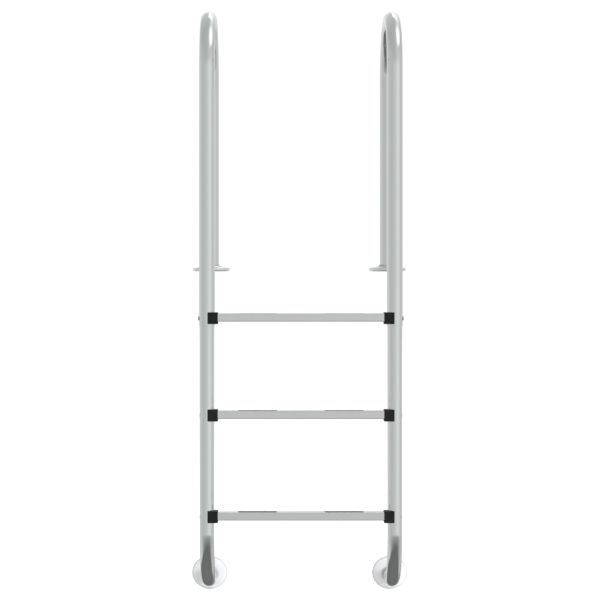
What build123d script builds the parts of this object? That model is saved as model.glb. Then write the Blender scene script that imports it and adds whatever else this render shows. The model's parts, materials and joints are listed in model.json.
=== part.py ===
from build123d import *
import math
import os

os.makedirs("parts", exist_ok=True)

# Pool ladder: two arched handrails telescoped over two lower rails, three
# box-section treads held in moulded end caps, welded deck flanges under
# sliding covers, and two wall bumpers.
#
# Millimetres.  +Z up, +Y from the pool towards the deck, +X to the right of a
# swimmer facing the deck.  Origin: on the deck surface, midway between the
# two deck flanges.  Below, "outer" means away from the middle plane X = 0.

sides = {"left": -1.0, "right": 1.0}    # sign of X on each side

# handrails
rail_x = 248.5            # half the distance between the two rail planes
front_y = -300.0          # pool-side legs
deck_y = 0.0              # deck-side legs
upper_r = 21.0            # outside radius
upper_wall = 1.2
upper_end_z = -150.5      # lower edge of the pool leg
arch_r = (deck_y - front_y) / 2
arch_z = 534.5            # height where the straight legs end
leg_end_z = 1.0           # the deck leg stops just above the deck, in its flange
drill_over = 2.0          # bolt hole cuts run this far past the tube

# lower rails
lower_r = 19.7            # outside radius
lower_wall = 1.5
lower_top_z = -81.5       # upper end, inside the handrail
foot_r = 142.0            # centreline radius of the foot bend
foot_low_z = -841.5       # lowest point of the foot's centreline
foot_tilt = 14.3          # degrees the foot bend runs past a right angle
foot_end = 90 + foot_tilt

# treads: box section, set a little forward of the rail axis
tread_tops = {"top": -116.9, "middle": -373.4, "bottom": -641.0}
lower_treads = ("middle", "bottom")
tread_y = -305.5
tread_h = 21.4
tread_d = 36.0
tread_half = 224.1        # half length of a tread
sheet = 1.5
edge_r = 1.7              # outside corner radius of the box section
inner_edge_r = edge_r - sheet
inner_d = tread_d - 2 * sheet
inner_h = tread_h - 2 * sheet

# bolt axes, as (y, z)
bolt_drop = 13.0          # bolt axis below the tread's top face
bolt_at = {name: (front_y, top - bolt_drop) for name, top in tread_tops.items()}

# grip pads
pad_x = 114.4
pad_y = -306.5
pad_l = 103.5             # size of the recess; the pad is smaller by pad_gap all round
pad_w = 27.0
pad_corner = 6.0
pad_gap = 0.1
pad_recess = 0.7
pad_t = 1.0
pad_chamfer = 0.2

# end caps
cap_in = 219.1            # inner face, measured from the middle plane
cap_out = 246.1           # outer edge of the saddle wings
cap_d = 39.0
cap_over = 3.0            # above the tread's top face
cap_under = 6.8           # below the tread's bottom face
cap_h = cap_over + tread_h + cap_under
cap_fillet = 1.6
cut_over = 2.0            # cuts start this far outside the cap
pocket_gap = 0.1          # round the tread
pocket_end_gap = 0.05     # beyond the tread's end
saddle_gap = 0.1
plug_in = 204.5           # inner end of the plug inside the tread
plug_gap = 0.15
plug_overlap = 0.5        # plug runs this far past the tread's end, into the cap
plug_cut_over = 1.0       # bolt hole and nut pocket start this far before the plug
cap_hole_l = 30.0

# fasteners, metric 8
shank_r = 4.0
hole_r = 4.3
socket_r = 2.9            # hexagon key socket, to its corners
hex_af = 13.0             # nut across flats
nut_t = 6.5
nut_pocket = 6.8
nut_pocket_gap = 0.1
nut_end_gap = 0.05        # between the nut and the pocket's end
nut_thread_gap = 0.05

# joint bolts and their saddle washers
head_seat = rail_x + upper_r + 0.35    # seat of the low round head
button_r = 5.8
button_h = 1.9
button_fillet = button_h - 0.6
button_socket = 2.2
joint_bolt_l = 70.0
saddle_washer_r = 6.0
saddle_washer_t = 4.0     # before its inner side is curved
saddle_washer_gap = 0.02
saddle_cut_half = 12.0    # half height of the cut that curves it

# countersunk tread bolts
csk_r = 7.75              # head radius
csk_face = 267.7          # head face, measured from the middle plane
csk_rim = 0.4
csk_gap = 0.1             # between the head and its seat
csk_clearance = 3.0       # cut above the head
csk_socket = 2.6
tread_bolt_l = 65.0

# deck flange
flange_r = 47.0
flange_t = 6.0
flange_chamfer = 0.8
leg_hole_r = upper_r + 0.02
bead_w = 2.4              # weld bead, out to this far from the leg's surface
bead_sink = 0.5           # depth of the bead's section below the flange face
deck_hole_r = 4.5
deck_sink_r = 7.75
deck_hole_off = 26.5

# flange cover
cover_r = 52.0
cover_wall = 1.2
cover_rim_z = 1.2
cover_skirt_z = 6.9
cover_cone_z = cover_skirt_z + 2.0    # low edge of the cone
cover_neck_z = 14.6
neck_under_z = cover_neck_z - cover_wall

# bumper, lengths measured along its own axis from the wall face
bumper_r = 49.3
bumper_rim_t = 7.0
recess_r = 12.0           # round recess in the wall face
recess_depth = 6.0
hub_r = 21.0
hub_l = 18.0              # wall face to the open end of the foot
hub_gap = 0.05            # between the hub and the foot's end
stem_r = 18.1
stem_tip_r = 16.9
stem_l = 15.0
stem_wall = 2.5           # at the tip
stem_hollow_over = 1.0    # the hollow runs this far past the stem


def save(builder, name):
    builder.part.label = name
    export_step(builder.part, f"parts/{name}.step")


def upright_plane(x):
    """Plane through a deck leg's axis: local x is the radius, local y the height."""
    return Plane((x, deck_y, 0), x_dir=(1, 0, 0), z_dir=(0, -1, 0))


def leg_axis(x):
    return Axis((x, deck_y, 0), (0, 0, 1))


# ---------------------------------------------------------------------------
# Rails
# ---------------------------------------------------------------------------
def handrail_path(x):
    """Centreline of a handrail: pool leg up, arch over, deck leg down."""
    front_spring = (x, front_y, arch_z)
    crown = (x, (front_y + deck_y) / 2, arch_z + arch_r)
    deck_spring = (x, deck_y, arch_z)
    with BuildLine() as line:
        Line((x, front_y, upper_end_z), front_spring)
        ThreePointArc(front_spring, crown, deck_spring)
        Line(deck_spring, (x, deck_y, leg_end_z))
    return line.wires()[0]


def foot_point(x, degrees):
    """Point on the foot bend's centreline, at an angle round the bend."""
    angle = math.radians(degrees)
    return (
        x,
        front_y + foot_r - foot_r * math.cos(angle),
        foot_low_z + foot_r - foot_r * math.sin(angle),
    )


def lower_rail_path(x):
    """Centreline of a lower rail: straight down, then a bend that ends rising to the wall."""
    with BuildLine() as line:
        Line((x, front_y, lower_top_z), foot_point(x, 0))
        ThreePointArc(foot_point(x, 0), foot_point(x, foot_end / 2), foot_point(x, foot_end))
    return line.wires()[0]


def make_handrail(side, sign):
    x = sign * rail_x
    with BuildPart() as handrail:
        with BuildSketch(Plane((x, front_y, upper_end_z), x_dir=(1, 0, 0), z_dir=(0, 0, 1))):
            Circle(upper_r)
            Circle(upper_r - upper_wall, mode=Mode.SUBTRACT)
        sweep(path=handrail_path(x))
        # the joint bolt crosses both walls of the pool leg
        with BuildSketch(Plane.YZ.offset(x)):
            with Locations(bolt_at["top"]):
                Circle(hole_r)
        extrude(amount=upper_r + drill_over, both=True, mode=Mode.SUBTRACT)
    save(handrail, f"handrail_{side}")


def make_lower_rail(side, sign):
    x = sign * rail_x
    seat_r = csk_r + csk_gap
    seat_rim = csk_rim + csk_gap
    with BuildPart() as lower_rail:
        with BuildSketch(Plane((x, front_y, lower_top_z), x_dir=(1, 0, 0), z_dir=(0, 0, -1))):
            Circle(lower_r)
            Circle(lower_r - lower_wall, mode=Mode.SUBTRACT)
        sweep(path=lower_rail_path(x))
        with BuildSketch(Plane.YZ.offset(x)):
            with Locations(*bolt_at.values()):
                Circle(hole_r)
        extrude(amount=lower_r + drill_over, both=True, mode=Mode.SUBTRACT)
        for name in lower_treads:
            # clearance above the head and round its rim, then the 90 degree seat
            for depth in (csk_clearance, -seat_rim):
                with BuildSketch(Plane.YZ.offset(sign * csk_face)):
                    with Locations(bolt_at[name]):
                        Circle(seat_r)
                extrude(amount=sign * depth, mode=Mode.SUBTRACT)
            with BuildSketch(Plane.YZ.offset(sign * (csk_face - seat_rim))):
                with Locations(bolt_at[name]):
                    Circle(seat_r)
            extrude(amount=-sign * (seat_r - hole_r), taper=45, mode=Mode.SUBTRACT)
    save(lower_rail, f"lower_rail_{side}")


# ---------------------------------------------------------------------------
# Treads, grip pads and end caps
# ---------------------------------------------------------------------------
def make_tread(name, top):
    with BuildPart() as tread:
        with BuildSketch(Plane.YZ):
            with Locations((tread_y, top - tread_h / 2)):
                RectangleRounded(tread_d, tread_h, edge_r)
                RectangleRounded(inner_d, inner_h, inner_edge_r, mode=Mode.SUBTRACT)
        extrude(amount=tread_half, both=True)
        # shallow recesses for the grip pads
        with BuildSketch(Plane.XY.offset(top)):
            with Locations((-pad_x, pad_y), (pad_x, pad_y)):
                RectangleRounded(pad_l, pad_w, pad_corner)
        extrude(amount=-pad_recess, mode=Mode.SUBTRACT)
    save(tread, f"tread_{name}")


def make_grip_pad(name, top, side, sign):
    """Flat strip standing a little above the tread."""
    with BuildPart() as pad:
        with BuildSketch(Plane.XY.offset(top - pad_recess)):
            with Locations((sign * pad_x, pad_y)):
                RectangleRounded(pad_l - 2 * pad_gap, pad_w - 2 * pad_gap, pad_corner - pad_gap)
        extrude(amount=pad_t)
        chamfer(pad.faces().sort_by(Axis.Z)[-1].outer_wire().edges(), length=pad_chamfer)
    save(pad, f"grip_pad_{name}_{side}")


def make_tread_cap(name, top, side, sign):
    """End cap: rim and plug for the tread on one side, saddle for the rail on the other."""
    tube_r = upper_r if name == "top" else lower_r
    cap_z = top + cap_over
    tread_centre = (tread_y, top - tread_h / 2)
    with BuildPart() as cap:
        with BuildSketch(Plane.YZ.offset(sign * cap_in)):
            with Locations((tread_y, cap_z - cap_h / 2)):
                Rectangle(cap_d, cap_h)
        extrude(amount=sign * (cap_out - cap_in))
        fillet(cap.edges(), radius=cap_fillet)
        # pocket that takes the tread's end
        with BuildSketch(Plane.YZ.offset(sign * (cap_in - cut_over))):
            with Locations(tread_centre):
                RectangleRounded(
                    tread_d + 2 * pocket_gap, tread_h + 2 * pocket_gap, edge_r + pocket_gap
                )
        pocket_l = tread_half + pocket_end_gap - cap_in + cut_over
        extrude(amount=sign * pocket_l, mode=Mode.SUBTRACT)
        # plug that fills the tread's end
        with BuildSketch(Plane.YZ.offset(sign * plug_in)):
            with Locations(tread_centre):
                RectangleRounded(inner_d - 2 * plug_gap, inner_h - 2 * plug_gap, inner_edge_r)
        extrude(amount=sign * (tread_half + plug_overlap - plug_in))
        # half-round saddle for the rail
        with BuildSketch(Plane.XY.offset(cap_z + cut_over)):
            with Locations((sign * rail_x, front_y)):
                Circle(tube_r + saddle_gap)
        extrude(amount=-(cap_h + 2 * cut_over), mode=Mode.SUBTRACT)
        # bolt hole, and the hexagon pocket that holds the nut
        plug_cut_plane = Plane.YZ.offset(sign * (plug_in - plug_cut_over))
        with BuildSketch(plug_cut_plane):
            with Locations(bolt_at[name]):
                Circle(hole_r)
        extrude(amount=sign * cap_hole_l, mode=Mode.SUBTRACT)
        with BuildSketch(plug_cut_plane):
            with Locations(bolt_at[name]):
                RegularPolygon(
                    radius=hex_af / 2 + nut_pocket_gap, side_count=6, major_radius=False
                )
        extrude(amount=sign * (nut_pocket + plug_cut_over), mode=Mode.SUBTRACT)
    save(cap, f"tread_cap_{name}_{side}")


# ---------------------------------------------------------------------------
# Fasteners
# ---------------------------------------------------------------------------
def make_joint_bolt(side, sign):
    """Low-headed bolt through both rails and the top tread's cap."""
    with BuildPart() as bolt:
        with BuildSketch(Plane.YZ.offset(sign * head_seat)):
            with Locations(bolt_at["top"]):
                Circle(button_r)
        extrude(amount=sign * button_h)
        outer_face = bolt.faces().sort_by(Axis.X)[-1 if sign > 0 else 0]
        fillet(outer_face.edges(), radius=button_fillet)
        with BuildSketch(Plane.YZ.offset(sign * head_seat)):
            with Locations(bolt_at["top"]):
                Circle(shank_r)
        extrude(amount=-sign * joint_bolt_l)
        # hexagon key socket
        with BuildSketch(Plane.YZ.offset(sign * (head_seat + button_h))):
            with Locations(bolt_at["top"]):
                RegularPolygon(radius=socket_r, side_count=6)
        extrude(amount=-sign * button_socket, mode=Mode.SUBTRACT)
    save(bolt, f"joint_bolt_{side}")


def make_saddle_washer(side, sign):
    """Washer, flat outside and curved inside to sit on the tube."""
    with BuildPart() as washer:
        with BuildSketch(Plane.YZ.offset(sign * (head_seat - saddle_washer_gap))):
            with Locations(bolt_at["top"]):
                Circle(saddle_washer_r)
                Circle(hole_r, mode=Mode.SUBTRACT)
        extrude(amount=-sign * saddle_washer_t)
        with BuildSketch(Plane.XY.offset(bolt_at["top"][1] - saddle_cut_half)):
            with Locations((sign * rail_x, front_y)):
                Circle(upper_r + saddle_washer_gap)
        extrude(amount=2 * saddle_cut_half, mode=Mode.SUBTRACT)
    save(washer, f"saddle_washer_{side}")


def make_tread_bolts(name):
    """Countersunk bolts of a lower tread, one each side."""
    with BuildPart() as bolts:
        for sign in sides.values():
            # shank, then the head's rim
            for radius, length in ((shank_r, tread_bolt_l), (csk_r, csk_rim)):
                with BuildSketch(Plane.YZ.offset(sign * csk_face)):
                    with Locations(bolt_at[name]):
                        Circle(radius)
                extrude(amount=-sign * length)
            # 90 degree cone under the rim
            with BuildSketch(Plane.YZ.offset(sign * (csk_face - csk_rim))):
                with Locations(bolt_at[name]):
                    Circle(csk_r)
            extrude(amount=-sign * (csk_r - shank_r), taper=45)
            # hexagon key socket
            with BuildSketch(Plane.YZ.offset(sign * csk_face)):
                with Locations(bolt_at[name]):
                    RegularPolygon(radius=socket_r, side_count=6)
            extrude(amount=-sign * csk_socket, mode=Mode.SUBTRACT)
    save(bolts, f"tread_bolts_{name}")


def make_cap_nuts(name):
    """Captive nuts, one in each end cap's plug."""
    with BuildPart() as nuts:
        for sign in sides.values():
            with BuildSketch(Plane.YZ.offset(sign * (plug_in + nut_pocket - nut_end_gap))):
                with Locations(bolt_at[name]):
                    RegularPolygon(radius=hex_af / 2, side_count=6, major_radius=False)
                    Circle(shank_r + nut_thread_gap, mode=Mode.SUBTRACT)
            extrude(amount=-sign * nut_t)
    save(nuts, f"cap_nuts_{name}")


# ---------------------------------------------------------------------------
# Deck flanges, their sliding covers and seal rings.
# Outline points are (radius from the leg's axis, height above the deck).
# ---------------------------------------------------------------------------
def make_deck_flange(side, x):
    bead_r = upper_r + bead_w
    bead_low_z = flange_t - bead_sink
    bead_top = (leg_hole_r, flange_t + 2.4)
    bead_toe = (bead_r, flange_t)
    with BuildPart() as flange:
        with BuildSketch(Plane.XY):
            with Locations((x, deck_y)):
                Circle(flange_r)
                Circle(leg_hole_r, mode=Mode.SUBTRACT)
        extrude(amount=flange_t)
        top_face = flange.faces().sort_by(Axis.Z)[-1]
        chamfer(top_face.outer_wire().edges(), length=flange_chamfer)
        # weld bead between the leg and the flange
        with BuildSketch(upright_plane(x)):
            with BuildLine():
                Line((leg_hole_r, bead_low_z), bead_top)
                ThreePointArc(bead_top, (upper_r + 1.4, flange_t + 1.4), bead_toe)
                Polyline(bead_toe, (bead_r, bead_low_z), (leg_hole_r, bead_low_z))
            make_face()
        revolve(axis=leg_axis(x))
        with Locations(Location((x, deck_y, flange_t))):
            with GridLocations(2 * deck_hole_off, 2 * deck_hole_off, 2, 2):
                CounterSinkHole(
                    radius=deck_hole_r, counter_sink_radius=deck_sink_r, counter_sink_angle=90
                )
    save(flange, f"deck_flange_{side}")


def make_flange_cover(side, x):
    """Short skirt, shallow cone, and a raised neck with a hole for the seal ring."""
    skirt_in_r = cover_r - cover_wall
    rim = (cover_r, cover_rim_z)
    skirt_top = (cover_r, cover_skirt_z)
    cone_low = (cover_r - 2.1, cover_cone_z)
    cone_low_in = (cover_r - 2.3, cover_cone_z - cover_wall)
    skirt_top_in = (skirt_in_r, cover_skirt_z - 0.3)
    with BuildPart() as cover:
        with BuildSketch(upright_plane(x)):
            with BuildLine():
                Line(rim, skirt_top)
                ThreePointArc(skirt_top, (cover_r - 0.62, cover_skirt_z + 1.36), cone_low)
                Polyline(
                    cone_low,
                    (29.8, cover_neck_z - 2.7),
                    (28.5, cover_neck_z - 0.8),
                    (27.1, cover_neck_z - 0.1),
                    (23.0, cover_neck_z),
                    (22.85, neck_under_z),
                    (26.9, neck_under_z - 0.05),
                    (27.5, neck_under_z - 0.3),
                    (29.1, neck_under_z - 2.61),
                    cone_low_in,
                )
                ThreePointArc(cone_low_in, (cover_r - 1.45, cover_skirt_z + 0.45), skirt_top_in)
                Polyline(skirt_top_in, (skirt_in_r, cover_rim_z), rim)
            make_face()
        revolve(axis=leg_axis(x))
    save(cover, f"flange_cover_{side}")


def make_cover_seal(side, x):
    """Grommet snapped into the cover's hole, running on the leg."""
    bore_r = upper_r + 0.06
    bore_low = (bore_r, cover_neck_z - 3.0)
    lip_side = (22.4, cover_neck_z + 2.6)
    lip_top = (21.5, cover_neck_z + 3.6)
    with BuildPart() as seal:
        with BuildSketch(upright_plane(x)):
            with BuildLine():
                Polyline(
                    bore_low,
                    (24.6, cover_neck_z - 3.0),
                    (24.6, neck_under_z - 0.45),
                    (22.7, neck_under_z - 0.45),
                    (22.7, cover_neck_z + 0.1),
                    (23.5, cover_neck_z + 0.1),
                    (23.5, cover_neck_z + 0.6),
                    (22.5, cover_neck_z + 1.0),
                    lip_side,
                )
                ThreePointArc(lip_side, (22.1, cover_neck_z + 3.3), lip_top)
                Polyline(lip_top, (bore_r, cover_neck_z + 3.6), bore_low)
            make_face()
        revolve(axis=leg_axis(x))
    save(seal, f"cover_seal_{side}")


# ---------------------------------------------------------------------------
# Wall bumpers: disc with a tapered stem pushed into the foot of the rail
# ---------------------------------------------------------------------------
def make_wall_bumper(side, x):
    axis_y = math.cos(math.radians(foot_tilt))
    axis_z = math.sin(math.radians(foot_tilt))
    towards_wall = (0, axis_y, axis_z)
    _, end_y, end_z = foot_point(x, foot_end)
    face = (x, end_y + hub_l * axis_y, end_z + hub_l * axis_z)
    # local x is the radius, local y runs along the axis towards the wall
    profile_plane = Plane(face, x_dir=(1, 0, 0), z_dir=(0, -axis_z, axis_y))

    recess_centre = (0, -recess_depth)
    face_edge = (bumper_r - 2.6, 0)
    rim_front = (bumper_r, -2.6)
    rim_back = (bumper_r, -4.2)
    back_edge = (bumper_r - 3.2, -bumper_rim_t - 0.25)
    hub_blend = (24.0, -12.6)
    hub_start = (hub_r, -15.2)
    hub_end = -hub_l + hub_gap
    stem_end = -hub_l - stem_l
    with BuildPart() as bumper:
        with BuildSketch(profile_plane):
            with BuildLine():
                Polyline(recess_centre, (recess_r, -recess_depth), (recess_r, 0), face_edge)
                ThreePointArc(face_edge, (bumper_r - 0.76, -0.76), rim_front)
                Line(rim_front, rim_back)
                ThreePointArc(rim_back, (bumper_r - 0.95, -6.35), back_edge)
                ThreePointArc(back_edge, (36.0, -10.4), hub_blend)
                ThreePointArc(hub_blend, (21.7, -13.5), hub_start)
                Polyline(
                    hub_start,
                    (hub_r, hub_end),
                    (stem_r, hub_end),
                    (stem_tip_r, stem_end),
                    (0, stem_end),
                    recess_centre,
                )
            make_face()
        revolve(axis=Axis(face, towards_wall))
        # hollow stem
        with BuildSketch(Plane(face, x_dir=(1, 0, 0), z_dir=towards_wall).offset(stem_end)):
            Circle(stem_tip_r - stem_wall)
        extrude(amount=stem_l + stem_hollow_over, mode=Mode.SUBTRACT)
    save(bumper, f"wall_bumper_{side}")


for side, sign in sides.items():
    make_handrail(side, sign)
    make_lower_rail(side, sign)
    make_joint_bolt(side, sign)
    make_saddle_washer(side, sign)
    make_deck_flange(side, sign * rail_x)
    make_flange_cover(side, sign * rail_x)
    make_cover_seal(side, sign * rail_x)
    make_wall_bumper(side, sign * rail_x)

for name, top in tread_tops.items():
    make_tread(name, top)
    make_cap_nuts(name)
    for side, sign in sides.items():
        make_grip_pad(name, top, side, sign)
        make_tread_cap(name, top, side, sign)

for name in lower_treads:
    make_tread_bolts(name)
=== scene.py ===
import json
import math

import bmesh
import bpy
import numpy as np
from mathutils import Matrix, Vector


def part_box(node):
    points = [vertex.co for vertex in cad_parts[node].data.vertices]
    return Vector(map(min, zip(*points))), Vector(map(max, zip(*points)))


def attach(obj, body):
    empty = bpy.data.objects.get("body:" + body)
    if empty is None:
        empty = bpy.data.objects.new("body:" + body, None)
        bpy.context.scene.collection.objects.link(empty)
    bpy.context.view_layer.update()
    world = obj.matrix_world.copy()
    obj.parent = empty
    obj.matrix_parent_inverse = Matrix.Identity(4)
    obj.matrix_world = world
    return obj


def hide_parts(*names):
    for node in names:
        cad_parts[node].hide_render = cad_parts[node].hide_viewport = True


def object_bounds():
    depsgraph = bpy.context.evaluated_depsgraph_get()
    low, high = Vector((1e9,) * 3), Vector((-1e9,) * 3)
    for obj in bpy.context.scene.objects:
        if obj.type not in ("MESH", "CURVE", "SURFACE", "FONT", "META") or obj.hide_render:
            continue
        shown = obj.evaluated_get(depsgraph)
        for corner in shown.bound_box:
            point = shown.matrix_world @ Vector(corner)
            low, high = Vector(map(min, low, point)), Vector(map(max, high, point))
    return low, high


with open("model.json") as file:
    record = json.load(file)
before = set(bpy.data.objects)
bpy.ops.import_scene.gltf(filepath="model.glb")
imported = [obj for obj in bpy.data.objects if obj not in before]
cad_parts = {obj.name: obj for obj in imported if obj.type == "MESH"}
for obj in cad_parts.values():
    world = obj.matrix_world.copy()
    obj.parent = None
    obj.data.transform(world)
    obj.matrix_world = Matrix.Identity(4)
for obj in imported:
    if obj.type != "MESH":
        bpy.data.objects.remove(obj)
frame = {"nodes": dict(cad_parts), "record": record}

cad_lo, cad_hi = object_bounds()
scene = bpy.context.scene
scene.view_settings.view_transform = "Standard"
scene.view_settings.look = "None"
SIDES = (("left", -1.0), ("right", 1.0))


# =============================================================================
# node helpers
# =============================================================================
def material(name):
    m = bpy.data.materials.new(name)
    m.use_nodes = True
    nt = m.node_tree
    bsdf = nt.nodes["Principled BSDF"]
    return m, nt, bsdf


def node(nt, kind, props=None, **ins):
    n = nt.nodes.new(kind)
    for k, v in (props or {}).items():
        setattr(n, k, v)
    for k, v in ins.items():
        key = k.replace("_", " ")
        sock = n.inputs[int(key[1:])] if key[0] == "i" and key[1:].isdigit() else n.inputs[key]
        if isinstance(v, bpy.types.NodeSocket):
            nt.links.new(v, sock)
        else:
            sock.default_value = v
    return n


def math_node(nt, op, a, b=None, c=None, clamp=False):
    n = nt.nodes.new("ShaderNodeMath")
    n.operation = op
    n.use_clamp = clamp
    for i, v in enumerate((a, b, c)):
        if v is None:
            continue
        if isinstance(v, bpy.types.NodeSocket):
            nt.links.new(v, n.inputs[i])
        else:
            n.inputs[i].default_value = v
    return n.outputs[0]


def ramp(nt, fac, stops, interp="LINEAR"):
    n = nt.nodes.new("ShaderNodeValToRGB")
    n.color_ramp.interpolation = interp
    el = n.color_ramp.elements
    while len(el) > 1:
        el.remove(el[-1])
    for i, (p, v) in enumerate(stops):
        e = el[0] if i == 0 else el.new(p)
        e.position = p
        e.color = (v, v, v, 1.0) if isinstance(v, (int, float)) else (*v, 1.0)
    nt.links.new(fac, n.inputs[0])
    return n.outputs[0]


def remap(nt, v, a, b, c=0.0, d=1.0, mode="LINEAR"):
    n = nt.nodes.new("ShaderNodeMapRange")
    n.interpolation_type = mode
    nt.links.new(v, n.inputs[0])
    for i, x in enumerate((a, b, c, d)):
        if isinstance(x, bpy.types.NodeSocket):
            nt.links.new(x, n.inputs[i + 1])
        else:
            n.inputs[i + 1].default_value = x
    return n.outputs[0]


def mix_col(nt, fac, a, b, blend="MIX"):
    n = nt.nodes.new("ShaderNodeMix")
    n.data_type = "RGBA"
    n.blend_type = blend
    for sock, v in ((n.inputs[0], fac), (n.inputs[6], a), (n.inputs[7], b)):
        if isinstance(v, bpy.types.NodeSocket):
            nt.links.new(v, sock)
        elif isinstance(v, (tuple, list)):
            sock.default_value = (*v, 1.0) if len(v) == 3 else v
        else:
            sock.default_value = v
    return n.outputs[2]


def noise_tex(nt, vec, scale, detail=2.0, rough=0.5, dist=0.0):
    n = nt.nodes.new("ShaderNodeTexNoise")
    nt.links.new(vec, n.inputs["Vector"])
    n.inputs["Scale"].default_value = scale
    n.inputs["Detail"].default_value = detail
    n.inputs["Roughness"].default_value = rough
    n.inputs["Distortion"].default_value = dist
    return n.outputs["Fac"]


def scaled(nt, vec, s):
    n = nt.nodes.new("ShaderNodeMapping")
    n.vector_type = "POINT"
    nt.links.new(vec, n.inputs["Vector"])
    n.inputs["Scale"].default_value = s
    return n.outputs[0]


def bump(nt, height, strength, distance, normal=None):
    n = nt.nodes.new("ShaderNodeBump")
    n.inputs["Strength"].default_value = strength
    n.inputs["Distance"].default_value = distance
    nt.links.new(height, n.inputs["Height"])
    if normal is not None:
        nt.links.new(normal, n.inputs["Normal"])
    return n.outputs[0]


def coords(nt, attribute=None):
    """Object coordinates in metres, or a named vector attribute."""
    if attribute:
        a = nt.nodes.new("ShaderNodeAttribute")
        a.attribute_name = attribute
        return a.outputs["Vector"]
    return nt.nodes.new("ShaderNodeTexCoord").outputs["Object"]


# =============================================================================
# materials
# =============================================================================
def metal(name, base, rough, grain, grain_depth, attribute=None, spread=0.04, mottling=0.03, smear=0.0, lines=None):
    """Steel with fine directional polishing marks.  grain is the noise scale along
    the three axes of the coordinate used; a large number is across the marks."""
    m, nt, bsdf = material(name)
    co = coords(nt, attribute)
    g = noise_tex(nt, scaled(nt, co, grain), 1.0, 3.0, 0.6)
    big = noise_tex(nt, scaled(nt, co, (1, 1, 0.45)), 26.0, 3.0, 0.55)
    fine = noise_tex(nt, co, 900.0, 2.0, 0.5)
    tone = remap(nt, big, 0.35, 0.65, 1.0 - mottling, 1.0)
    tone2 = remap(nt, g, 0.3, 0.7, 1.0 - mottling * 0.8, 1.0)
    v = math_node(nt, "MULTIPLY", tone, tone2)
    col = mix_col(nt, v, tuple(0.0 for _ in base), base)
    nt.links.new(col, bsdf.inputs["Base Color"])
    bsdf.inputs["Metallic"].default_value = 1.0
    r = math_node(nt, "ADD", rough - spread * 0.5, math_node(nt, "MULTIPLY", g, spread))
    r = math_node(nt, "ADD", r, remap(nt, big, 0.45, 0.8, 0.0, smear))
    r = math_node(nt, "ADD", r, remap(nt, fine, 0.4, 0.8, 0.0, spread * 0.4), clamp=True)
    nt.links.new(r, bsdf.inputs["Roughness"])
    b = bump(nt, g, grain_depth, 0.0002)
    if lines:
        b = bump(nt, noise_tex(nt, scaled(nt, co, lines), 1.0, 1.0), grain_depth * 0.6, 0.0004, b)
    nt.links.new(b, bsdf.inputs["Normal"])
    return m


def plastic(name, base, rough, grain, depth, sheen=0.0, spec=0.5, edge=None, coat=0.0, sss=0.0, rim=None, hub=None):
    """Moulded plastic or rubber: a fine eroded grain, faint flow clouds and dust.
    rim gives the radii over which a turned piece gets a painted shade line at its edge, hub the
    radii over which a painted grey shadow round the hub fades out."""
    m, nt, bsdf = material(name)
    co = coords(nt)
    cloud = noise_tex(nt, co, 34.0, 4.0, 0.6)
    fine = noise_tex(nt, co, grain, 2.0, 0.55)
    vor = nt.nodes.new("ShaderNodeTexVoronoi")
    vor.feature = "F1"
    vor.inputs["Scale"].default_value = grain * 0.8
    nt.links.new(co, vor.inputs["Vector"])
    pit = vor.outputs["Distance"]
    v = remap(nt, cloud, 0.3, 0.7, 0.93, 1.05)
    v2 = remap(nt, fine, 0.3, 0.7, 0.95, 1.04)
    col = mix_col(nt, 1.0, base, (1, 1, 1), "MULTIPLY")
    hsv = nt.nodes.new("ShaderNodeHueSaturation")
    nt.links.new(col, hsv.inputs["Color"])
    nt.links.new(math_node(nt, "MULTIPLY", v, v2), hsv.inputs["Value"])
    out = hsv.outputs[0]
    if edge:
        # handling wears the moulded edges a little lighter
        geo = nt.nodes.new("ShaderNodeNewGeometry")
        worn = remap(nt, geo.outputs["Pointiness"], 0.53, 0.62, 0.0, 0.55)
        worn = math_node(nt, "MULTIPLY", worn, remap(nt, cloud, 0.35, 0.65, 0.3, 1.0))
        out = mix_col(nt, worn, out, edge)
    if rim:
        at = nt.nodes.new("ShaderNodeSeparateXYZ")
        nt.links.new(coords(nt, "turn_co"), at.inputs[0])
        # painted shade: the colour goes darker grey in a thin band near the rim, standing in for the shade on its side
        rim_shade_paint = remap(nt, at.outputs[0], rim[0], rim[1], 0.0, 0.36, "SMOOTHSTEP")
        rim_shade_paint = math_node(nt, "MULTIPLY", rim_shade_paint, remap(nt, cloud, 0.3, 0.7, 0.75, 1.0))
        out = mix_col(nt, rim_shade_paint, out, (0.30, 0.30, 0.31))
        if hub:
            # painted shadow: the colour goes grey round the hub next to the tube end, standing in for the shadow cast
            # there
            hub_shadow_paint = remap(nt, at.outputs[0], hub[0], hub[1], 0.62, 0.0, "SMOOTHSTEP")
            hub_shadow_paint = math_node(nt, "MULTIPLY", hub_shadow_paint, remap(nt, at.outputs[1], -0.0118, -0.0100, 1.0, 0.0, "SMOOTHSTEP"))
            hub_shadow_paint = math_node(nt, "MULTIPLY", hub_shadow_paint, remap(nt, cloud, 0.3, 0.7, 0.85, 1.0))
            out = mix_col(nt, hub_shadow_paint, out, (0.27, 0.27, 0.28))
    nt.links.new(out, bsdf.inputs["Base Color"])
    r = math_node(nt, "ADD", rough - 0.04, math_node(nt, "MULTIPLY", fine, 0.08))
    r = math_node(nt, "ADD", r, remap(nt, cloud, 0.4, 0.75, 0.0, 0.06), clamp=True)
    nt.links.new(r, bsdf.inputs["Roughness"])
    h = math_node(nt, "ADD", math_node(nt, "MULTIPLY", fine, 0.6), math_node(nt, "MULTIPLY", pit, 0.5))
    nt.links.new(bump(nt, h, depth, 0.00025), bsdf.inputs["Normal"])
    bsdf.inputs["Specular IOR Level"].default_value = spec
    bsdf.inputs["Sheen Weight"].default_value = sheen
    bsdf.inputs["Coat Weight"].default_value = coat
    if sss:
        bsdf.inputs["Subsurface Weight"].default_value = sss
        bsdf.inputs["Subsurface Radius"].default_value = (0.004, 0.004, 0.005)
        bsdf.inputs["Subsurface Scale"].default_value = 1.0
    return m


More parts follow.
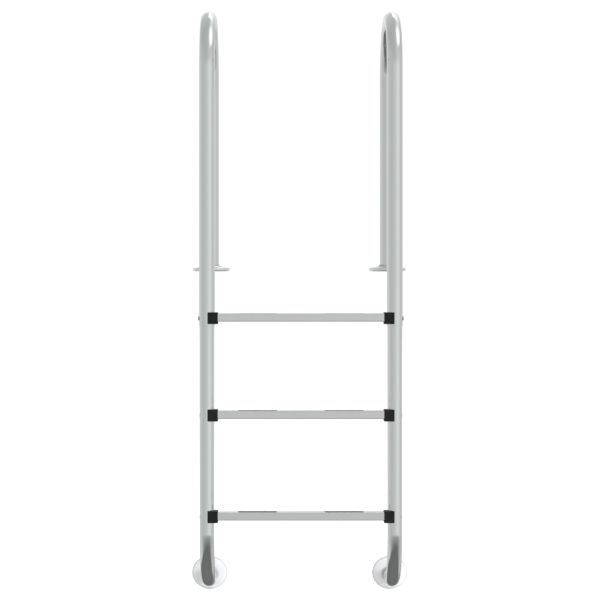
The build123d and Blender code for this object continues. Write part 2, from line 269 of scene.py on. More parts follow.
MAT = {
    # marks run round the tube: fast noise along its length (third axis)
    "polished_tube": metal("polished_tube", (0.934, 0.944, 0.938), 0.070, (60, 60, 2600), 0.010,
                           "tube_co", spread=0.03, mottling=0.014, smear=0.02, lines=(30, 30, 420)),
    "pressed_cover": metal("pressed_cover", (0.985, 0.99, 0.985), 0.09, (3000, 120, 120), 0.03,
                           "turn_co", spread=0.04, mottling=0.02, smear=0.02),
    "flange_plate": metal("flange_plate", (0.80, 0.81, 0.81), 0.26, (380, 380, 380), 0.10, spread=0.12, mottling=0.10),
    "tread_sheet": metal("tread_sheet", (0.925, 0.935, 0.928), 0.15, (14, 2600, 2600), 0.03,
                         spread=0.06, mottling=0.016, smear=0.03),
    "fastener_steel": metal("fastener_steel", (0.60, 0.61, 0.61), 0.30, (900, 900, 900), 0.05, spread=0.10, mottling=0.08),
    "seal_rubber": plastic("seal_rubber", (0.38, 0.385, 0.39), 0.50, 1600.0, 0.15, sheen=0.1, spec=0.4),
    "pad_rubber": plastic("pad_rubber", (0.042, 0.043, 0.044), 0.62, 1500.0, 0.35, sheen=0.2, spec=0.35),
    "cap_plastic": plastic("cap_plastic", (0.0075, 0.0085, 0.0080), 0.48, 1900.0, 0.18, spec=0.24, edge=(0.02, 0.02, 0.02)),
    # rim and hub add a painted shade line at the rim and a painted shadow round the hub to the bumper's colour
    "bumper_plastic": plastic("bumper_plastic", (0.93, 0.932, 0.95), 0.36, 1300.0, 0.03, spec=0.5, sss=0.08,
                              rim=(0.0450, 0.0470), hub=(0.0228, 0.0250)),
}
SLOT = {row["node"]: row["material_slot"] for row in frame["record"]["subparts"]}


def paint(obj, slot):
    me = obj.data
    me.materials.clear()
    me.materials.append(MAT[slot])


for name, obj in frame["nodes"].items():
    paint(obj, SLOT[name])


# =============================================================================
# mesh helpers
# =============================================================================
def finish_piece(obj, slot, body, *nodes):
    scene.collection.objects.link(obj) if obj.name not in scene.collection.objects else None
    paint(obj, slot)
    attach(obj, body)
    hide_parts(*nodes)
    return obj


def mesh_from(name, verts, faces):
    me = bpy.data.meshes.new(name)
    me.from_pydata([tuple(v) for v in verts], [], faces)
    me.validate(clean_customdata=False)
    return me


def smooth(me, angle=35.0):
    me.polygons.foreach_set("use_smooth", [True] * len(me.polygons))
    me.set_sharp_from_angle(angle=math.radians(angle))


def arc(cx, cz, r, a0, a1, n):
    """Points on an arc, angles in degrees."""
    return [
        (cx + r * math.cos(math.radians(a0 + (a1 - a0) * i / n)), cz + r * math.sin(math.radians(a0 + (a1 - a0) * i / n)))
        for i in range(n + 1)
    ]


def turn(name, profile, centre, axis, nseg=192, angle=35.0, tilt=0.0):
    """Revolves a closed (radius, height) profile about the axis 'Z' or 'Y'.
    Points on the axis become a single vertex.  The finished piece is then tilted
    about X through its centre, in radians."""
    cx, cy, cz = centre
    verts, ring = [], []
    for r, h in profile:
        if r < 1e-7:
            ring.append(len(verts))
            verts.append((cx, cy, cz + h) if axis == "Z" else (cx, cy + h, cz))
        else:
            ring.append([len(verts) + k for k in range(nseg)])
            for k in range(nseg):
                t = 2 * math.pi * k / nseg
                c, s = math.cos(t) * r, math.sin(t) * r
                verts.append((cx + c, cy + s, cz + h) if axis == "Z" else (cx + c, cy + h, cz + s))
    faces = []
    m = len(profile)
    for i in range(m):
        a, b = ring[i], ring[(i + 1) % m]
        if isinstance(a, int) and isinstance(b, int):
            continue
        for k in range(nseg):
            k2 = (k + 1) % nseg
            if isinstance(a, int):
                faces.append((a, b[k], b[k2]))
            elif isinstance(b, int):
                faces.append((a[k], b, a[k2]))
            else:
                faces.append((a[k], b[k], b[k2], a[k2]))
    me = mesh_from(name, verts, faces)
    bm = bmesh.new()
    bm.from_mesh(me)
    bmesh.ops.recalc_face_normals(bm, faces=bm.faces)
    bm.to_mesh(me)
    bm.free()
    smooth(me, angle)
    # radius, height and turn, for marks that run round the piece
    co = np.array([v.co for v in me.vertices]) - np.array(centre)
    if axis == "Z":
        rad, h = np.hypot(co[:, 0], co[:, 1]), co[:, 2]
    else:
        rad, h = np.hypot(co[:, 0], co[:, 2]), co[:, 1]
    ang = (co[:, 0] / np.maximum(rad, 1e-6)) * 0.02
    a = me.attributes.new("turn_co", "FLOAT_VECTOR", "POINT")
    a.data.foreach_set("vector", np.stack([rad, h, ang], 1).astype(np.float32).ravel())
    if tilt:
        c = Vector(centre)
        me.transform(Matrix.Translation(c) @ Matrix.Rotation(tilt, 4, "X") @ Matrix.Translation(-c))
    return bpy.data.objects.new(name, me)


class Path:
    """A centreline in a plane X = constant: straight runs and arcs in (y, z)."""

    def __init__(self, parts):
        self.parts, self.length = [], 0.0
        for p in parts:
            if p[0] == "L":
                n = math.hypot(p[2][0] - p[1][0], p[2][1] - p[1][1])
            else:
                n = abs(math.radians(p[4] - p[3])) * p[2]
            self.parts.append((p, self.length, n))
            self.length += n

    def at(self, s):
        for p, s0, n in self.parts:
            if s <= s0 + n + 1e-9 or p is self.parts[-1][0]:
                t = (s - s0) / n
                if p[0] == "L":
                    (ya, za), (yb, zb) = p[1], p[2]
                    return (ya + (yb - ya) * t, za + (zb - za) * t), ((yb - ya) / n, (zb - za) / n)
                a = math.radians(p[3] + (p[4] - p[3]) * t)
                sg = 1.0 if p[4] > p[3] else -1.0
                return (
                    (p[1][0] + p[2] * math.cos(a), p[1][1] + p[2] * math.sin(a)),
                    (-math.sin(a) * sg, math.cos(a) * sg),
                )

    def near(self, y, z):
        """For arrays y, z: nearest centreline point and its run length."""
        best = np.full(y.shape, 1e9)
        py, pz, ps = np.zeros_like(y), np.zeros_like(y), np.zeros_like(y)
        for p, s0, n in self.parts:
            if p[0] == "L":
                (ya, za), (yb, zb) = p[1], p[2]
                t = np.clip(((y - ya) * (yb - ya) + (z - za) * (zb - za)) / (n * n), 0, 1)
                qy, qz, qs = ya + (yb - ya) * t, za + (zb - za) * t, s0 + t * n
            else:
                a = np.degrees(np.arctan2(z - p[1][1], y - p[1][0]))
                lo, hi = min(p[3], p[4]), max(p[3], p[4])
                a = np.where(a < lo - 90, a + 360, a)
                a = np.where(a > hi + 90, a - 360, a)
                a = np.clip(a, lo, hi)
                qy = p[1][0] + p[2] * np.cos(np.radians(a))
                qz = p[1][1] + p[2] * np.sin(np.radians(a))
                qs = s0 + np.abs(a - p[3]) / abs(p[4] - p[3]) * n
            d = np.hypot(y - qy, z - qz)
            m = d < best
            best = np.where(m, d, best)
            py, pz, ps = np.where(m, qy, py), np.where(m, qz, pz), np.where(m, qs, ps)
        return py, pz, ps


def tube(name, x0, path, r_out, r_in, nseg=128, straight=0.03, bend_deg=1.6, edge=0.00035, cutters=()):
    """A hollow bent tube with rounded end edges, holes cut by cutters, and exact
    surface normals."""
    samples = []
    for p, s0, n in path.parts:
        k = max(1, round(n / straight)) if p[0] == "L" else max(8, round(abs(p[4] - p[3]) / bend_deg))
        samples += [s0 + n * i / k for i in range(k)]
    samples.append(path.length)
    samples = [s for s in samples if edge * 1.5 < s < path.length - edge * 1.5]
    loops = []
    for a in (90, 60, 30, 0):
        t = math.radians(a)
        loops.append((edge - edge * math.sin(t), r_out - edge + edge * math.cos(t)))
    loops += [(s, r_out) for s in samples]
    for a in (0, 30, 60, 90):
        t = math.radians(a)
        loops.append((path.length - edge + edge * math.sin(t), r_out - edge + edge * math.cos(t)))
    for a in (90, 45, 0):
        t = math.radians(a)
        loops.append((path.length - edge + edge * math.sin(t), r_in + edge - edge * math.cos(t)))
    loops += [(s, r_in) for s in samples[::-1]]
    for a in (0, 45, 90):
        t = math.radians(a)
        loops.append((edge - edge * math.sin(t), r_in + edge - edge * math.cos(t)))
    verts = []
    for s, r in loops:
        (y, z), (ty, tz) = path.at(min(max(s, 0.0), path.length))
        for k in range(nseg):
            t = 2 * math.pi * (k + 0.5) / nseg
            u, v = r * math.cos(t), r * math.sin(t)
            verts.append((x0 + u, y - tz * v, z + ty * v))
    m = len(loops)
    faces = [
        (i * nseg + k, ((i + 1) % m) * nseg + k, ((i + 1) % m) * nseg + (k + 1) % nseg, i * nseg + (k + 1) % nseg)
        for i in range(m)
        for k in range(nseg)
    ]
    me = mesh_from(name, verts, faces)
    bm = bmesh.new()
    bm.from_mesh(me)
    bmesh.ops.recalc_face_normals(bm, faces=bm.faces)
    bm.to_mesh(me)
    bm.free()
    obj = bpy.data.objects.new(name, me)
    scene.collection.objects.link(obj)
    if cutters:
        me = cut(obj, cutters)
    smooth(me, 30.0)
    exact_normals(me, x0, path, r_out, r_in)
    return obj


def cut(obj, cutters):
    """Applies exact boolean differences and returns the new mesh."""
    tools = []
    for c in cutters:
        scene.collection.objects.link(c)
        mod = obj.modifiers.new("cut", "BOOLEAN")
        mod.operation = "DIFFERENCE"
        mod.solver = "EXACT"
        mod.object = c
        tools.append(c)
    bpy.context.view_layer.update()
    dg = bpy.context.evaluated_depsgraph_get()
    me = bpy.data.meshes.new_from_object(obj.evaluated_get(dg), depsgraph=dg)
    me.name = obj.name
    obj.modifiers.clear()
    old = obj.data
    obj.data = me
    bpy.data.meshes.remove(old)
    for c in tools:
        data = c.data
        bpy.data.objects.remove(c)
        bpy.data.meshes.remove(data)
    return me


def drum(x0, x1, y, z, r0, r1=None, nseg=64):
    """A cutter along X, from radius r0 at x0 to r1 at x1."""
    r1 = r0 if r1 is None else r1
    verts, faces = [], []
    for x, r in ((x0, r0), (x1, r1)):
        for k in range(nseg):
            t = 2 * math.pi * (k + 0.31) / nseg
            verts.append((x, y + r * math.cos(t), z + r * math.sin(t)))
    faces = [(k, (k + 1) % nseg, nseg + (k + 1) % nseg, nseg + k) for k in range(nseg)]
    faces += [tuple(range(nseg))[::-1], tuple(range(nseg, 2 * nseg))]
    me = mesh_from("cutter", verts, faces)
    bm = bmesh.new()
    bm.from_mesh(me)
    bmesh.ops.recalc_face_normals(bm, faces=bm.faces)
    bm.to_mesh(me)
    bm.free()
    return bpy.data.objects.new("cutter", me)


def exact_normals(me, x0, path, r_out, r_in):
    """Sets each corner on the tube's own walls to the true wall normal, and stores
    tube coordinates (across, across, along) for the material."""
    n_v = len(me.vertices)
    co = np.zeros(n_v * 3)
    me.vertices.foreach_get("co", co)
    co = co.reshape(-1, 3)
    py, pz, ps = path.near(co[:, 1], co[:, 2])
    d = np.stack([co[:, 0] - x0, co[:, 1] - py, co[:, 2] - pz], 1)
    rad = np.linalg.norm(d, axis=1)
    nrm = d / np.maximum(rad, 1e-9)[:, None]
    (ya, za), (ty, tz) = path.at(path.length * 0.5)
    # signed in-plane offset, for an angle that stays steady along the tube
    tang = np.array([path.at(min(max(s, 1e-6), path.length))[1] for s in ps])
    v = -d[:, 1] * tang[:, 1] + d[:, 2] * tang[:, 0]
    a = me.attributes.new("tube_co", "FLOAT_VECTOR", "POINT")
    a.data.foreach_set("vector", np.stack([d[:, 0], v, ps], 1).astype(np.float32).ravel())
    corner = np.zeros(len(me.loops) * 3)
    me.corner_normals.foreach_get("vector", corner)
    corner = corner.reshape(-1, 3)
    vi = np.zeros(len(me.loops), int)
    me.loops.foreach_get("vertex_index", vi)
    fn = np.zeros(len(me.polygons) * 3)
    me.polygons.foreach_get("normal", fn)
    fn = fn.reshape(-1, 3)
    tot = np.zeros(len(me.polygons), int)
    me.polygons.foreach_get("loop_total", tot)
    fl = np.repeat(fn, tot, axis=0)
    out = corner.copy()
    for r, sg in ((r_out, 1.0), (r_in, -1.0)):
        on = (np.abs(rad[vi] - r) < 2e-5) & ((fl * nrm[vi]).sum(1) * sg > 0.9)
        out[on] = nrm[vi][on] * sg
    me.normals_split_custom_set([tuple(x) for x in out])


# =============================================================================
# tubes
# =============================================================================
WALL_UP, WALL_LOW = 0.0012, 0.0015
FOOT_R, FOOT_TILT = 0.142, 14.3      # bend radius; how far the bend runs past a right angle
HUB_L = 0.018                        # foot's open end to the bumper's wall face
HOLE, CSK, CSK_FACE = 0.0043, 0.00785, 0.2677
BOLT_DROP = 0.0130
tread_top = {n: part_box(f"tread_{n}")[1].z for n in ("top", "middle", "bottom")}
bolt_z = {n: z - BOLT_DROP for n, z in tread_top.items()}

for side, s in SIDES:
    lo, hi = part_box(f"handrail_{side}")
    x0, r = (lo.x + hi.x) / 2, (hi.x - lo.x) / 2
    yf, yr = lo.y + r, hi.y - r
    R = (yr - yf) / 2
    zt = hi.z - r - R
    path = Path([("L", (yf, lo.z), (yf, zt)), ("A", ((yf + yr) / 2, zt), R, 180.0, 0.0), ("L", (yr, zt), (yr, 0.001))])
    rail = tube(
        f"handrail_tube_{side}", x0, path, r, r - WALL_UP,
        cutters=[drum(x0 - 0.03, x0 + 0.03, yf, bolt_z["top"], HOLE)],
    )
    finish_piece(rail, "polished_tube", "ladder", f"handrail_{side}")

    lo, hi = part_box(f"lower_rail_{side}")
    x0, r = (lo.x + hi.x) / 2, (hi.x - lo.x) / 2
    yf, zf = lo.y + r, lo.z + r
    path = Path([
        ("L", (yf, hi.z), (yf, zf + FOOT_R)),
        ("A", (yf + FOOT_R, zf + FOOT_R), FOOT_R, 180.0, 270.0 + FOOT_TILT),
    ])
    tools = [drum(x0 - 0.03, x0 + 0.03, yf, z, HOLE) for z in bolt_z.values()]
    for n in ("middle", "bottom"):
        tools.append(drum(s * (CSK_FACE - 0.0005), s * (CSK_FACE + 0.004), yf, bolt_z[n], CSK))
        tools.append(drum(s * (CSK_FACE - 0.0005), s * (CSK_FACE - 0.0005 - (CSK - HOLE)), yf, bolt_z[n], CSK, HOLE))
    low = tube(f"lower_tube_{side}", x0, path, r, r - WALL_LOW, cutters=tools)
    finish_piece(low, "polished_tube", "ladder", f"lower_rail_{side}")


# =============================================================================
# flange covers and their seal rings
# =============================================================================
def loop_of(points):
    """Drops repeated points."""
    out = []
    for p in points:
        if not out or math.hypot(p[0] - out[-1][0], p[1] - out[-1][1]) > 1e-6:
            out.append(p)
    if math.hypot(out[0][0] - out[-1][0], out[0][1] - out[-1][1]) < 1e-6:
        out.pop()
    return out


for side, s in SIDES:
    lo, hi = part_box(f"flange_cover_{side}")
    cx, cy = (lo.x + hi.x) / 2, (lo.y + hi.y) / 2
    R, z0, z1 = (hi.x - lo.x) / 2, lo.z, hi.z
    t = 0.0012
    zs = z1 - 0.0077            # top of the straight skirt
    zn = z1 - 0.0027            # foot of the raised neck
    slope = (zn - (zs + 0.0020)) / (R - 0.0021 - 0.0298)
    outer = [(R - 0.0003, z0), (R - 0.00008, z0 + 0.0001), (R, z0 + 0.00035), (R, zs)]
    for i in range(1, 9):       # shoulder
        a = math.radians(90 * i / 9 * 0.93)
        outer.append((R - 0.0021 + 0.0021 * math.cos(a), zs + 0.0020 * math.sin(a)))
    for i in range(0, 25):      # shallow cone with a very slight crown
        f = i / 24
        rr = R - 0.0023 + (0.0304 - (R - 0.0023)) * f
        outer.append((rr, zs + 0.00202 + slope * (R - 0.0021 - rr) + 0.0002 * math.sin(math.pi * f)))
    # swept foot, wall and rounded top of the neck
    outer += [(0.0299, zn + 0.00025), (0.0295, zn + 0.0006), (0.0292, zn + 0.00105), (0.0289, zn + 0.0015)]
    for i in range(1, 8):
        a = math.radians(20 + 70 * i / 7)
        outer.append((0.0276 + 0.0011 * math.cos(a), z1 - 0.0011 + 0.0010 * math.sin(a)))
    outer += [(0.0255, z1 - 0.00006), (0.0234, z1), (0.0231, z1 - 0.0001), (0.02285, z1 - 0.0004), (0.02285, z1 - t + 0.0002), (0.0230, z1 - t)]
    inner = [(0.0250, z1 - t), (0.0269, z1 - t - 0.0001), (0.0273, z1 - t - 0.0003), (0.0277, z1 - t - 0.0007), (0.0287, z1 - t - 0.0022)]
    for i in range(0, 25):
        f = i / 24
        rr = 0.0292 + (R - 0.0026 - 0.0292) * f
        inner.append((rr, zs + 0.0020 - t + slope * (R - 0.0021 - rr) + 0.0002 * math.sin(math.pi * (1 - f))))
    for i in range(1, 7):
        a = math.radians(90 - 90 * i / 6)
        inner.append((R - t - 0.0013 + 0.0013 * math.cos(a), zs - 0.0006 + 0.0013 * math.sin(a)))
    inner += [(R - t, zs - 0.0012), (R - t, z0 + 0.00035), (R - t + 0.0001, z0 + 0.0001), (R - t + 0.0003, z0)]
    cover = turn(f"cover_shell_{side}", loop_of(outer + inner), (cx, cy, 0.0), "Z", 224, 40.0)
    finish_piece(cover, "pressed_cover", f"{side}_cover", f"flange_cover_{side}")

    lo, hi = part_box(f"cover_seal_{side}")
    ro, z0, z1 = (hi.x - lo.x) / 2, lo.z, hi.z
    ri = 0.02106
    prof = [(ri, z0 + 0.0003), (ri + 0.0003, z0), (ro - 0.0004, z0), (ro - 0.0001, z0 + 0.0001), (ro, z0 + 0.0004)]
    prof += [(ro, z0 + 0.0012), (ro - 0.0003, z0 + 0.00135), (0.0227, z0 + 0.00135), (0.0227, z0 + 0.0031)]
    prof += [(0.0233, z0 + 0.0031), (0.02347, z0 + 0.00318), (0.0235, z0 + 0.00335), (0.02346, z0 + 0.00352), (0.0233, z0 + 0.0036)]
    prof += [(0.0227, z0 + 0.0038), (0.0225, z0 + 0.0041), (0.0224, z0 + 0.0045), (0.0224, z0 + 0.0054)]
    # rolled lip that wipes the leg
    for i in range(1, 13):
        a = math.radians(90 * i / 12)
        prof.append((0.0224 - 0.0010 + 0.0010 * math.cos(a), z0 + 0.0054 + 0.0012 * math.sin(a)))
    prof += [(0.0212, z1 - 0.0001), (ri + 0.00005, z1 - 0.0003), (ri, z1 - 0.0007)]
    seal = turn(f"seal_ring_{side}", loop_of(prof), (cx, cy, 0.0), "Z", 160, 40.0)
    finish_piece(seal, "seal_rubber", f"{side}_cover", f"cover_seal_{side}")


# =============================================================================
# wall bumpers
# =============================================================================
tilt = math.radians(FOOT_TILT)
for side, s in SIDES:
    lo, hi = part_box(f"lower_rail_{side}")
    r = (hi.x - lo.x) / 2
    yc, zc = lo.y + r + FOOT_R, lo.z + r + FOOT_R                # centre of the foot bend
    cx = (lo.x + hi.x) / 2
    cy = yc + FOOT_R * math.sin(tilt) + HUB_L * math.cos(tilt)   # centre of the wall face
    cz = zc - FOOT_R * math.cos(tilt) + HUB_L * math.sin(tilt)
    lo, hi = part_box(f"wall_bumper_{side}")
    R = (hi.x - lo.x) / 2
    hub, stem, tip, stem_l = 0.0209, 0.0181, 0.0169, 0.015
    end = -HUB_L + 0.00005
    prof = [(0.0, -0.0060), (0.0114, -0.0060), (0.0118, -0.0058), (0.0120, -0.0054), (0.0120, -0.0006), (0.0122, -0.0002), (0.0126, 0.0)]
    prof += [(0.030, 0.0), (0.0304, -0.0006), (0.0312, -0.0008), (0.0320, -0.0006), (0.0324, 0.0)]      # wall-side groove
    prof += [(R - 0.0026 + 0.0026 * math.sin(math.radians(a)), -0.0026 + 0.0026 * math.cos(math.radians(a))) for a in range(0, 91, 9)]
    prof += [(R, -0.0042)]
    prof += [(R - 0.0024 + 0.0024 * math.cos(math.radians(a)), -0.0042 - 0.0026 * math.sin(math.radians(a))) for a in range(9, 73, 9)]
    # domed front: from the rim in to the hub
    p0, p1 = (R - 0.0024 + 0.0024 * math.cos(math.radians(72)), -0.0042 - 0.0026 * math.sin(math.radians(72))), (0.0240, -0.0126)
    for i in range(1, 57):
        f = i / 56
        rr = p0[0] + (p1[0] - p0[0]) * f
        dip = max(0.0, 1.0 - abs(rr - 0.0457) / 0.0009)          # moulded groove behind the rim
        dip = 0.0010 * dip * dip * (3 - 2 * dip)
        prof.append((rr, p0[1] + (p1[1] - p0[1]) * f - 0.0013 * math.sin(math.pi * f) * (1 - 0.25 * f) + dip))
    for i in range(1, 8):
        a = math.radians(90 * i / 8)
        prof.append((0.0240 - (0.0240 - hub) * math.sin(a), -0.0126 - 0.0026 * (1 - math.cos(a))))
    prof += [(hub, -0.0156), (hub, end + 0.0005), (hub - 0.00015, end + 0.00015), (hub - 0.0005, end)]
    prof += [(stem, end), (tip + 0.0002, -HUB_L - stem_l + 0.0012), (tip - 0.0008, -HUB_L - stem_l)]
    prof += [(tip - 0.0022, -HUB_L - stem_l), (tip - 0.0025, -HUB_L - stem_l + 0.0004), (tip - 0.0025, -0.0170), (0.0, -0.0170)]
    pad = turn(f"bumper_disc_{side}", loop_of(prof), (cx, cy, cz), "Y", 224, 38.0, tilt)
    finish_piece(pad, "bumper_plastic", "ladder", f"wall_bumper_{side}")


# =============================================================================
# grip pads: rounded strips with fine raised ribs along the tread
# =============================================================================
def grip_pad(name, lo, hi):
    cx, cy = (lo.x + hi.x) / 2, (lo.y + hi.y) / 2
    a, b = (hi.x - lo.x) / 2, (hi.y - lo.y) / 2
    rc = 0.0059
    base, top = lo.z, hi.z

    def outline(inset, n=10):
        pts = []
        r = rc - inset
        for qx, qy, a0 in ((1, 1, 0), (-1, 1, 90), (-1, -1, 180), (1, -1, 270)):
            for i in range(n + 1):
                t = math.radians(a0 + 90 * i / n)
                pts.append((qx * (a - rc) + r * math.cos(t), qy * (b - rc) + r * math.sin(t)))
        return pts

    verts, faces = [], []

    def ring(inset, z):
        i0 = len(verts)
        verts.extend((cx + x, cy + y, z) for x, y in outline(inset))
        return list(range(i0, len(verts)))

    rings = [ring(0.0002, base), ring(0.0, base + 0.0001), ring(0.0, top - 0.00034), ring(0.00007, top - 0.00022),
             ring(0.00022, top - 0.00016), ring(0.0016, top - 0.00016)]
    m = len(rings[0])
    for r0, r1 in zip(rings[:-1], rings[1:]):
        faces += [(r0[k], r0[(k + 1) % m], r1[(k + 1) % m], r1[k]) for k in range(m)]
    faces.append(tuple(rings[0][::-1]))
    faces.append(tuple(rings[-1]))
    me = mesh_from(name, verts, faces)
    # ribs: separate low half-round bars standing on the field, ends rounded off
    bm = bmesh.new()
    bm.from_mesh(me)
    count, pitch = 9, (2 * b - 0.0052) / 9
    for i in range(count):
        y = cy - (count - 1) * pitch / 2 + i * pitch
        inset = 0.0030 if 0 < i < count - 1 else 0.0048
        half, w, h = a - inset, pitch * 0.33, 0.00018
        cols = [-half, -half + 0.0004, -half + 0.0010, -half + 0.0018]
        cols += [x for x in np.linspace(-half + 0.0030, half - 0.0030, 9)] + [half - 0.0018, half - 0.0010, half - 0.0004, half]
        grid = []
        for x in cols:
            e = min(1.0, (half - abs(x)) / 0.0018)
            g = math.sqrt(max(0.0, 1 - (1 - e) ** 2))
            row = []
            for k in range(9):
                t = math.pi * k / 8
                row.append(bm.verts.new((cx + x, y + w * math.cos(t) * max(g, 0.02), top - 0.00018 + h * math.sin(t) * g)))
            grid.append(row)
        for c0, c1 in zip(grid[:-1], grid[1:]):
            for k in range(8):
                bm.faces.new((c0[k], c0[k + 1], c1[k + 1], c1[k]))
            bm.faces.new((c0[8], c0[0], c1[0], c1[8]))
        bm.faces.new(grid[0])
        bm.faces.new(grid[-1][::-1])
    bmesh.ops.recalc_face_normals(bm, faces=bm.faces)
    bm.to_mesh(me)
    bm.free()
    smooth(me, 50.0)
    return bpy.data.objects.new(name, me)


for n in ("top", "middle", "bottom"):
    for side, s in SIDES:
        pad = grip_pad(f"ribbed_pad_{n}_{side}", *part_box(f"grip_pad_{n}_{side}"))
        finish_piece(pad, "pad_rubber", "ladder", f"grip_pad_{n}_{side}")


# =============================================================================
# stage: floor, light, camera
# =============================================================================
floor_z = cad_lo.z - 0.001
me = mesh_from("studio_floor", [(-30, -30, floor_z), (30, -30, floor_z), (30, 30, floor_z), (-30, 30, floor_z)], [(0, 1, 2, 3)])
floor = bpy.data.objects.new("studio_floor", me)
scene.collection.objects.link(floor)
m, nt, bsdf = material("floor_white")
grain = noise_tex(nt, coords(nt), 3.0, 2.0)
nt.links.new(remap(nt, grain, 0.3, 0.7, 0.93, 0.95), bsdf.inputs["Roughness"])
bsdf.inputs["Base Color"].default_value = (0.94, 0.94, 0.94, 1)
bsdf.inputs["Specular IOR Level"].default_value = 0.1
me.materials.append(m)
glow = node(nt, "ShaderNodeEmission", Color=(1, 1, 1, 1), Strength=0.42)
see = nt.nodes.new("ShaderNodeLightPath")
only_seen = nt.nodes.new("ShaderNodeMixShader")
add = nt.nodes.new("ShaderNodeAddShader")
nt.links.new(bsdf.outputs[0], add.inputs[0])
nt.links.new(glow.outputs[0], add.inputs[1])
nt.links.new(see.outputs["Is Camera Ray"], only_seen.inputs[0])
nt.links.new(bsdf.outputs[0], only_seen.inputs[1])
nt.links.new(add.outputs[0], only_seen.inputs[2])
nt.links.new(only_seen.outputs[0], nt.nodes["Material Output"].inputs["Surface"])
floor.visible_glossy = False

world = bpy.data.worlds.new("studio")
scene.world = world
world.use_nodes = True
nt = world.node_tree
for n in list(nt.nodes):
    nt.nodes.remove(n)
tc = nt.nodes.new("ShaderNodeTexCoord")
sep = node(nt, "ShaderNodeSeparateXYZ", i0=tc.outputs["Generated"])
dx, dy, dz = sep.outputs
azim = math_node(nt, "ARCTAN2", dx, math_node(nt, "MULTIPLY", dy, -1.0))
u = math_node(nt, "ADD", math_node(nt, "DIVIDE", azim, 2 * math.pi), 0.5)


def az(deg):
    return (deg + 180.0) / 360.0


def lum(v):
    v = v / 255.0
    return v / 12.92 if v <= 0.04045 else ((v + 0.055) / 1.055) ** 2.4


def band(stops):
    return ramp(nt, u, [(az(a), v) for a, v in stops])


# belts of the studio, from the horizon up; each is (azimuth, brightness)
horizon = band([(-180, lum(228)), (-150, lum(211)), (-90, lum(190)), (-58, lum(179)), (-5, lum(191)), (45, lum(216)),
                (95, lum(186)), (180, lum(215))])
middle = band([(-180, lum(238)), (-148, lum(181)), (-50, lum(179)), (-15, lum(172)), (50, lum(198)), (112, lum(180)),
               (148, lum(190)), (172, lum(244))])
high = band([(-180, lum(196)), (-100, lum(169)), (0, lum(174)), (40, lum(200)), (60, 1.02), (96, 1.06), (127, lum(210)),
             (160, 1.02)])
# lower and upper edges of the soft boxes, as the sine of the elevation
box_foot = band([(-180, 0.56), (30, 0.56), (50, 0.66), (84, 0.56), (130, 0.59), (180, 0.53)])
box_top = band([(-180, 0.85), (-140, 0.90), (45, 0.90), (82, 0.935), (145, 0.85)])
overhead = band([(-180, lum(180)), (-100, lum(172)), (30, lum(176)), (82, lum(200)), (140, lum(183))])
# how far below the horizon the dark floor starts, as the sine of the angle
low_edge = band([(-180, 0.42), (-140, 0.38), (-98, 0.57), (60, 0.60), (92, 0.69), (124, 0.68), (150, 0.53)])
# how much the darker apron in front of the ladder shows
apron = band([(-180, 0.35), (-112, 0.0), (-86, 0.0), (-45, 0.78), (0, 1.0), (48, 1.0), (90, 0.25), (125, 0.10), (150, 0.75), (172, 1.0)])
zen = lum(173)
t_mid = remap(nt, dz, 0.19, 0.42, 0.0, 1.0)
t_high = remap(nt, dz, math_node(nt, "SUBTRACT", box_foot, 0.065), math_node(nt, "ADD", box_foot, 0.065), 0.0, 1.0, "SMOOTHSTEP")
t_over = remap(nt, dz, math_node(nt, "SUBTRACT", box_top, 0.03), math_node(nt, "ADD", box_top, 0.03), 0.0, 1.0, "SMOOTHSTEP")
t_zen = remap(nt, dz, 0.968, 0.988, 0.0, 1.0, "SMOOTHSTEP")
down = math_node(nt, "MULTIPLY", dz, -1.0)
edge0 = math_node(nt, "SUBTRACT", low_edge, 0.055)
edge1 = math_node(nt, "ADD", low_edge, 0.055)
t_low = remap(nt, down, edge0, edge1, 0.0, 1.0, "SMOOTHSTEP")
c = mix_col(nt, t_mid, horizon, middle)
c = mix_col(nt, t_high, c, high)
c = mix_col(nt, t_over, c, overhead)
c = mix_col(nt, t_zen, c, (zen, zen, zen))
front = ramp(nt, down, [(0.0, lum(190)), (0.14, lum(187)), (0.19, lum(164)), (0.27, lum(144)), (0.365, lum(134)),
                        (0.46, lum(115)), (0.55, lum(104)), (1.0, lum(101))])
t_apron = math_node(nt, "MULTIPLY", apron, remap(nt, down, 0.14, 0.20, 0.0, 1.0, "SMOOTHSTEP"))
c = mix_col(nt, t_apron, c, front)
dark = remap(nt, down, 0.3, 1.0, lum(98), lum(110))
c = mix_col(nt, t_low, c, dark)
c = mix_col(nt, 1.0, c, (1.045, 1.072, 1.062), "MULTIPLY")

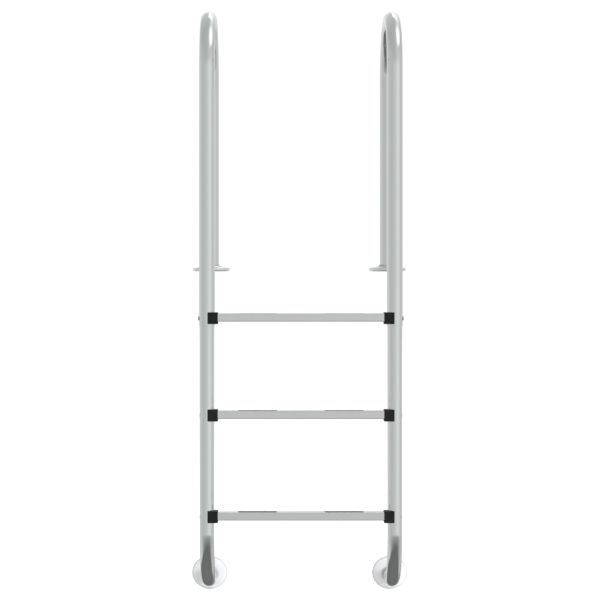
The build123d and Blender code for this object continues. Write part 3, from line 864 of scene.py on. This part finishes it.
lp = nt.nodes.new("ShaderNodeLightPath")
glossy = nt.nodes.new("ShaderNodeBackground")
nt.links.new(c, glossy.inputs["Color"])
soft = nt.nodes.new("ShaderNodeBackground")
soft_c = remap(nt, dz, -0.6, 0.7, 0.44, 0.72)
nt.links.new(soft_c, soft.inputs["Color"])
white = nt.nodes.new("ShaderNodeBackground")
white.inputs["Color"].default_value = (1, 1, 1, 1)
white.inputs["Strength"].default_value = 1.02
mix1 = nt.nodes.new("ShaderNodeMixShader")
nt.links.new(lp.outputs["Is Glossy Ray"], mix1.inputs[0])
nt.links.new(soft.outputs[0], mix1.inputs[1])
nt.links.new(glossy.outputs[0], mix1.inputs[2])
mix2 = nt.nodes.new("ShaderNodeMixShader")
nt.links.new(lp.outputs["Is Camera Ray"], mix2.inputs[0])
nt.links.new(mix1.outputs[0], mix2.inputs[1])
nt.links.new(white.outputs[0], mix2.inputs[2])
out = nt.nodes.new("ShaderNodeOutputWorld")
nt.links.new(mix2.outputs[0], out.inputs["Surface"])


def area(name, loc, target, size, power, colour=(1, 1, 1)):
    d = bpy.data.lights.new(name, "AREA")
    d.shape = "RECTANGLE"
    d.size, d.size_y = size
    d.energy = power
    d.color = colour
    o = bpy.data.objects.new(name, d)
    o.location = loc
    o.rotation_euler = (Vector(target) - Vector(loc)).to_track_quat("-Z", "Y").to_euler()
    o.visible_glossy = False
    scene.collection.objects.link(o)
    return o


area("key_soft", (7.4, -5.6, 1.1), (0, -0.15, -0.8), (2.4, 2.6), 475.0)
area("floor_soft", (0, -1.5, 4.2), (0, -0.5, -0.9), (5.0, 5.0), 90.0)

cam_data = bpy.data.cameras.new("camera")
cam_data.sensor_width = 36.0
cam_data.lens = 99.3
cam_data.clip_start, cam_data.clip_end = 0.05, 200.0
cam = bpy.data.objects.new("camera", cam_data)
cam_data.shift_x = 0.0384
cam.location = (-0.0633, -4.680, -0.0815)
cam.rotation_euler = (math.pi / 2, 0.0, 0.0)
scene.collection.objects.link(cam)
scene.camera = cam
